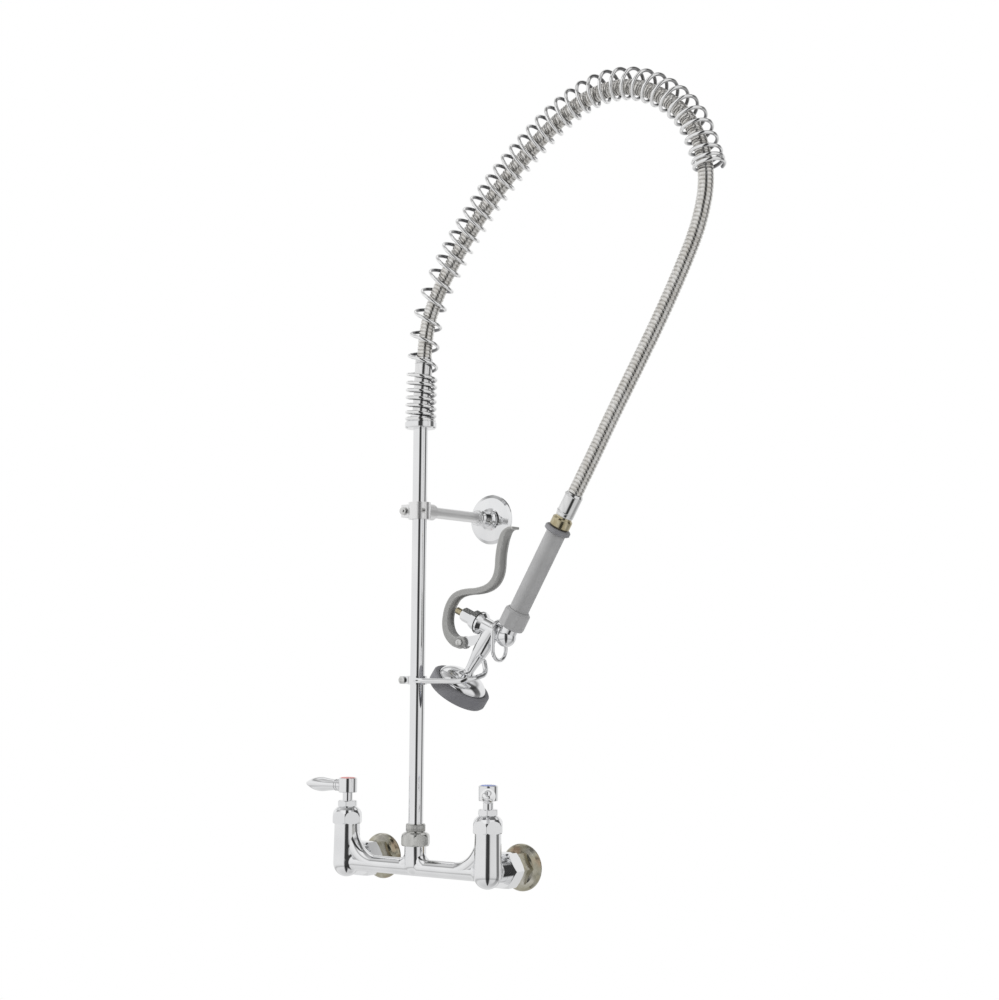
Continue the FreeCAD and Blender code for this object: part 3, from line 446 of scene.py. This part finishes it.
def make_spring():
    """Left-handed helix: a close-wound foot, a few pulled-open turns, then an even run."""
    path = Path(spline_points("coil_line", coil_route()), 0.5 * MM)
    end = path.length - COIL_STOPS_SHORT
    places = [0.0]
    stops = np.array([(0.0, 5.0), (8.0, 8.7), (50.0, 8.7), (64.0, 25.0), (165.0, 24.0),
                      (190.0, 16.0), (330.0, 14.6), (600.0, 15.4), (end / MM - 16, 14.5),
                      (end / MM - 7, 6.0), (end / MM, 5.0)])       # distance, pitch in mm
    while places[-1] < end:
        pitch = np.interp(places[-1] / MM, stops[:, 0], stops[:, 1]) * MM
        places.append(places[-1] + pitch / STEPS_PER_TURN)
    s = np.array(places)
    turn = -2 * math.pi * np.arange(len(s)) / STEPS_PER_TURN + FIRST_TURN_STARTS
    centre = path.at(s, path.points)
    out, side = path.at(s, path.out), path.at(s, path.side)
    radial = np.cos(turn)[:, None] * out + np.sin(turn)[:, None] * side
    points = centre + COIL_RADIUS * radial
    wire = Path.__new__(Path)
    wire.points = points
    wire.tangent = np.gradient(points, axis=0)
    wire.tangent /= np.linalg.norm(wire.tangent, axis=1)[:, None]
    wire.out = radial
    wire.side = np.cross(wire.tangent, wire.out)
    made = tube_mesh("overhead_coil", wire, np.full(len(points), WIRE_RADIUS),
                     WIRE_SIDES, WIRE)
    # inward runs from 0 on the coil's outer side to 1 on its inner side; the wire material
    # paints shade by it
    inward = 0.5 - 0.5 * np.cos(2 * math.pi * np.arange(WIRE_SIDES) / WIRE_SIDES)
    made.data.attributes.new("inward", "FLOAT", "POINT").data.foreach_set(
        "value", np.resize(inward, len(made.data.vertices)).astype(np.float32))
    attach(made, "riser")
    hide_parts("overhead_spring")


make_spring()


# ---------------------------------------------------------------- squeeze lever
LEVER_ROUTE = [(0.0645, 0.2573), (0.0500, 0.2620), (0.0420, 0.2800), (0.0465, 0.3010),
               (0.0600, 0.3150), (0.0980, 0.3160), (0.1155, 0.3310), (0.1165, 0.3620),
               (0.1255, 0.3880), (0.1360, 0.3860)]
LEVER_WIDTH = 15 * MM
INNER = -1                       # the side its foot thickens to, as its path counts outward


def boolean(target, tool, operation):
    modifier = target.modifiers.new("boolean", "BOOLEAN")
    modifier.operation = operation
    modifier.object = tool
    modifier.solver = "EXACT"
    apply_modifiers(target)
    bpy.data.objects.remove(tool)


def remesh_finely(made, passes=0):
    """One closed skin of even small faces, its edges eased by smoothing passes."""
    remesh = made.modifiers.new("remesh", "REMESH")
    remesh.mode = "VOXEL"
    remesh.voxel_size = 0.42 * MM
    if passes:
        relax = made.modifiers.new("relax", "SMOOTH")
        relax.factor, relax.iterations = 0.5, passes
    apply_modifiers(made)


def apply_modifiers(made):
    graph = bpy.context.evaluated_depsgraph_get()
    finished = bpy.data.meshes.new_from_object(made.evaluated_get(graph), depsgraph=graph)
    made.modifiers.clear()
    made.data = finished


def disc(name, at, axis, radius, length, material, rounding=0.0, segments=48):
    """A short cylinder centred on a point, with its two rims rounded."""
    profile = [(0.0, -length / 2)]
    for end in (-1, 1):
        for step in range(5):
            angle = math.pi / 2 * (step / 4 if end == -1 else 1 - step / 4)
            profile.append((radius - rounding * (1 - math.sin(angle)),
                            end * (length / 2 - rounding * (1 - math.cos(angle)))))
    profile.append((0.0, length / 2))
    return lathe(name, at, axis, profile, material, segments)


def lathe(name, at, axis, profile, material, segments=48):
    """A turned piece: (radius, height) pairs carried round an axis."""
    axis = Vector(axis).normalized()
    side = axis.orthogonal().normalized()
    other = axis.cross(side)
    points = []
    for radius, height in profile:
        for step in range(segments):
            angle = 2 * math.pi * step / segments
            points.append(Vector(at) + axis * height
                          + (side * math.cos(angle) + other * math.sin(angle))
                          * max(radius, 1e-6))
    return new_mesh(name, points, grid_faces(len(profile), segments), material)


def make_lever():
    """A cast strap, channelled on both faces and forked at its pivot."""
    path = Path(spline_points("lever_line", [(x, PLANE_Y, z) for x, z in LEVER_ROUTE]),
                0.8 * MM)
    half_wide = LEVER_WIDTH / 2
    top = path.length
    thick = np.interp(top - path.s, [0, 8 * MM, 16 * MM, 30 * MM],
                      [1.6 * MM, 1.8 * MM, 3.2 * MM, 3.5 * MM])
    foot = np.interp(path.s, [0, 8 * MM, 26 * MM, 40 * MM], [3.6 * MM, 4.2 * MM, 1.6 * MM, 0])
    channel = np.interp(path.s, [26 * MM, 40 * MM, top - 26 * MM, top - 14 * MM],
                        [0, 2.3 * MM, 2.3 * MM, 0])
    rows = []
    middle = path.points + path.out * (INNER * foot / 2)[:, None]
    for centre, out, side, half, deep in zip(middle, path.out, path.side, thick + foot / 2,
                                             channel):
        soft = min(1.0 * MM, half * 0.5)
        section = []
        for a, b in ((1, 1), (-1, 1), (-1, -1), (1, -1)):
            corner = (a * (half_wide - soft), b * (half - soft))
            first = math.atan2(b, a) - math.pi / 4
            for step in range(5):
                angle = first + math.pi / 2 * step / 4
                section.append((corner[0] + soft * math.cos(angle),
                                corner[1] + soft * math.sin(angle)))
        trough = [(4.9 * MM, 0), (4.2 * MM, deep), (0, deep), (-4.2 * MM, deep),
                  (-4.9 * MM, 0)]
        outer = section[:5] + [(x, half - d) for x, d in trough] + section[5:10]
        inner = section[10:15] + [(-x, -half + d) for x, d in trough] + section[15:]
        rows += [centre + side * x + out * y for x, y in outer + inner]
    count = len(rows) // len(path.points)
    lever = new_mesh("cast_squeeze_lever", rows, grid_faces(len(path.points), count), LEVER)
    pivot = (LEVER_ROUTE[0][0], PLANE_Y, LEVER_ROUTE[0][1])
    remesh_finely(lever)             # the cuts below need one clean skin
    boolean(lever, disc("boss", pivot, (0, 1, 0), 7.2 * MM, 15 * MM, LEVER, 1.2 * MM), "UNION")
    boolean(lever, disc("slot", pivot, (0, 1, 0), 9.6 * MM, 6.9 * MM, LEVER, 0.6 * MM),
            "DIFFERENCE")
    remesh_finely(lever, passes=2)
    boolean(lever, disc("hole", pivot, (0, 1, 0), 2.6 * MM, 30 * MM, LEVER), "DIFFERENCE")
    lever.data.materials.clear()
    lever.data.materials.append(LEVER)
    lever.data.polygons.foreach_set("use_smooth", [True] * len(lever.data.polygons))
    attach(lever, "squeeze_lever")
    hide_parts("squeeze_lever")


make_lever()


# ---------------------------------------------------------------- small pieces
def socket_screw(name, at, axis, radius, body):
    """Flat-ended set screw, proud of its boss, with its six-sided socket as a black hex of
    painted shade.
    """
    screw = lathe(name, at, axis,
                  [(0, -1.2 * MM), (radius, -1.2 * MM), (radius, 0.9 * MM),
                   (radius - 0.35 * MM, 1.25 * MM), (0.62 * radius, 1.25 * MM)], SATIN, 36)
    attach(screw, body)
    # painted shade: the socket is a near-black hex at the screw's capped top, in place of a
    # shaded hollow
    socket = lathe(name + "_socket", at, axis,
                   [(0.64 * radius, 1.25 * MM), (0.60 * radius, 1.1 * MM),
                    (0.58 * radius, 0.1 * MM), (0, 0.0)], SEAL, 6)
    socket.data.polygons.foreach_set("use_smooth", [False] * len(socket.data.polygons))
    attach(socket, body)


def knurled_band(name, at, axis, radius, low, high, teeth, material, body):
    """A grip band of upright rounded teeth round an axis."""
    axis = Vector(axis).normalized()
    side = axis.orthogonal().normalized()
    other = axis.cross(side)
    points = []
    columns = teeth * 4
    for height, cut in ((low, 0.5), (low + 0.5 * MM, 0), (high - 0.5 * MM, 0), (high, 0.5)):
        for column in range(columns):
            angle = 2 * math.pi * column / columns
            out = radius - cut * MM - (0.0, 0.16, 0.34, 0.16)[column % 4] * MM
            points.append(Vector(at) + axis * height
                          + (side * math.cos(angle) + other * math.sin(angle)) * out)
    band = new_mesh(name, points, grid_faces(4, columns), material)
    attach(band, body)


def crimp_rings(name, at, axis, radius, heights, body):
    """Rolled beads pressed round a ferrule."""
    for number, height in enumerate(heights):
        profile = [(radius - 0.3 * MM, height - 1.5 * MM)] + [
            (radius - 0.1 * MM + 0.55 * MM * math.sin(math.pi * step / 6),
             height - 1.3 * MM + 2.6 * MM * step / 6) for step in range(7)
        ] + [(radius - 0.3 * MM, height + 1.5 * MM)]
        bead = lathe("%s_%d" % (name, number), at, axis, profile, FERRULE)
        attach(bead, body)


def bracket_hub():
    """The stepped chrome sleeve where the bracket's pipe enters its wall disc."""
    low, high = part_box("bracket_flange")
    pipe_low, pipe_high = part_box("bracket_pipe")
    bore = (pipe_high[2] - pipe_low[2]) / 2 + 0.05 * MM
    profile = [(bore + out * MM, height * MM) for out, height in
               ((0, 0), (2.2, 0), (3.4, 0.9), (3.4, 2.9), (1.3, 4.4), (1.3, 5.6), (2.7, 6.9),
                (2.7, 9.0), (1.9, 10.2), (0.5, 10.2), (0, 9.8))]
    face = ((low[0] + high[0]) / 2, low[1], (low[2] + high[2]) / 2)
    sleeve = lathe("bracket_hub_sleeve", face, (0, -1, 0), profile, CHROME)
    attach(sleeve, "base")


CLAMP_HEIGHT = 0.411             # the wall bracket's clamp on the riser
CLAMP_RADIUS = 13 * MM
CLAMP_SCREW_TURNED = math.radians(56)
CRIMP_RADIUS = 10.2 * MM


def small_pieces():
    """Set screw, knurled collar, hub sleeve and crimp beads, too fine for the CAD."""
    bracket_hub()
    facing = Vector((math.sin(CLAMP_SCREW_TURNED), -math.cos(CLAMP_SCREW_TURNED), 0))
    socket_screw("clamp_set_screw", Vector((0, PLANE_Y, CLAMP_HEIGHT)) + facing * CLAMP_RADIUS,
                 facing, 2.7 * MM, "base")
    knurled_band("riser_collar_knurl", (0, PLANE_Y, 0), (0, 0, 1), 11.25 * MM, 40.2 * MM,
                 48.2 * MM, 44, NICKEL, "riser")
    low, high = HOSE_ROUTE[0], HOSE_ROUTE[1]
    up = Vector((high[0] - low[0], 0, high[1] - low[1])).normalized()
    crimp_rings("inlet_crimp", (low[0], PLANE_Y, low[1]), up, CRIMP_RADIUS,
                (-7 * MM, -21 * MM), "riser")
    end, before = HOSE_ROUTE[-1], HOSE_ROUTE[-2]
    back = Vector((before[0] - end[0], 0, before[1] - end[1])).normalized()
    crimp_rings("outlet_crimp", (end[0], PLANE_Y, end[1]), back, CRIMP_RADIUS,
                (-3.5 * MM, -24 * MM), "valve")


small_pieces()


# ---------------------------------------------------------------- studio
FLOOR_RADIUS = 3.0
FLOOR_HEIGHT = -0.95


def make_floor():
    """A pale round floor, well below the wall-hung faucet."""
    rim = [(FLOOR_RADIUS * math.cos(math.radians(angle)),
            FLOOR_RADIUS * math.sin(math.radians(angle)), FLOOR_HEIGHT)
           for angle in range(0, 360, 5)]
    floor = new_mesh("floor", rim, [tuple(range(len(rim)))], pale_floor(), smooth=False)
    floor.visible_glossy = False


def pale_floor():
    shader = Shader("pale_floor", (0.88, 0.88, 0.88), 0.9)
    shader.color_between(shader.noise(2, 2), (0.87, 0.87, 0.87), (0.89, 0.89, 0.89))
    return shader.material


def make_world():
    """White studio for the eye; for what the plate mirrors, pale gray with dark flags."""
    world = bpy.data.worlds.new("studio")
    world.use_nodes = True
    scene.world = world
    tree = world.node_tree
    tree.nodes.clear()
    new, link = tree.nodes.new, tree.links.new

    def maths(operation, *values):
        node = new("ShaderNodeMath")
        node.operation = operation
        for slot, value in zip(node.inputs, values):
            if isinstance(value, (int, float)):
                slot.default_value = value
            else:
                link(value, slot)
        return node.outputs[0]

    def weighted(parts, constant=0.0):
        total = constant
        for part, weight in zip((x, y, z), parts):
            total = maths("MULTIPLY_ADD", part, weight, total)
        return total

    def ramp(factor, stops):
        node = new("ShaderNodeValToRGB")
        for index, (place, value) in enumerate(stops):
            stop = node.color_ramp.elements[index] if index < 2 \
                else node.color_ramp.elements.new(place)
            stop.position = place
            stop.color = (value, value, value, 1)
        link(factor, node.inputs["Fac"])
        return node.outputs["Color"]

    def mix(kind, factor, first, second):
        node = new("ShaderNodeMix")
        node.data_type = "RGBA"
        node.blend_type = kind
        sockets = [node.inputs[0]] + [item for item in node.inputs if item.type == "RGBA"]
        for socket, value in zip(sockets, (factor, first, second)):
            if isinstance(value, (int, float, tuple)):
                socket.default_value = value
            else:
                link(value, socket)
        return [item for item in node.outputs if item.type == "RGBA"][0]

    split = new("ShaderNodeSeparateXYZ")
    link(new("ShaderNodeTexCoord").outputs["Generated"], split.inputs[0])
    x, y, z = split.outputs
    # each direction as seen from in front: how far across to the right, and how far round
    # from the front, where the studio's dark doorway is
    front = (math.sin(AZIMUTH), -math.cos(AZIMUTH), 0.0)
    right = (math.cos(AZIMUTH), math.sin(AZIMUTH), 0.0)
    across = weighted(right)
    around = maths("ADD", maths("DIVIDE", maths("ARCTAN2", across, weighted(front)),
                                2 * math.pi), 0.5)
    facing = weighted([part * 0.5 for part in front], 0.5)
    doorway = ramp(around, [(0.0, 1.0), (0.445, 1.0), (0.468, 0.06), (0.535, 0.05),
                            (0.565, 0.9), (1.0, 1.0)])
    flags = ramp(facing, [(0.0, 1.0), (0.27, 1.0), (0.34, 0.16), (0.55, 0.10), (0.63, 1.0),
                          (1.0, 1.0)])
    clamp = new("ShaderNodeClamp")
    link(maths("MULTIPLY_ADD", across, 0.55, maths("MULTIPLY_ADD", z, 0.45, 0.35)),
         clamp.inputs["Value"])
    height = ramp(maths("MULTIPLY_ADD", z, 0.5, 0.5),
                  [(0.0, 0.66), (0.22, 0.80), (0.30, 0.50), (0.36, 0.78), (0.62, 0.90),
                   (0.72, 0.90), (0.78, 0.34), (0.86, 0.9), (1.0, 1.0)])
    flagged = mix("MIX", clamp.outputs[0], (1.0, 1.0, 1.0, 1.0), flags)
    mirror = new("ShaderNodeBackground")
    link(mix("MULTIPLY", 1.0, mix("MULTIPLY", 1.0, doorway, flagged), height),
         mirror.inputs["Color"])
    seen = new("ShaderNodeBackground")
    seen.inputs["Color"].default_value = (1, 1, 1, 1)
    choose = new("ShaderNodeMixShader")
    link(new("ShaderNodeLightPath").outputs["Is Camera Ray"], choose.inputs["Fac"])
    link(mirror.outputs[0], choose.inputs[1])
    link(seen.outputs[0], choose.inputs[2])
    link(choose.outputs[0], new("ShaderNodeOutputWorld").inputs["Surface"])


def area_light(name, at, towards, size, power):
    data = bpy.data.lights.new(name, "AREA")
    data.shape = "RECTANGLE"
    data.size, data.size_y = size
    data.energy = power
    light = bpy.data.objects.new(name, data)
    light.location = at
    light.visible_glossy = False        # the plate mirrors the studio, not the lamps
    aim = Vector(towards) - Vector(at)
    light.rotation_euler = aim.to_track_quat("-Z", "Y").to_euler()
    scene.collection.objects.link(light)


make_floor()
make_world()
area_light("key", (-2.2, -1.6, 1.9), (0.1, 0, 0.4), (1.2, 1.2), 88)
area_light("fill", (2.6, -1.2, 0.9), (0.1, 0, 0.4), (0.8, 1.6), 27)
scene.view_settings.view_transform = "Standard"
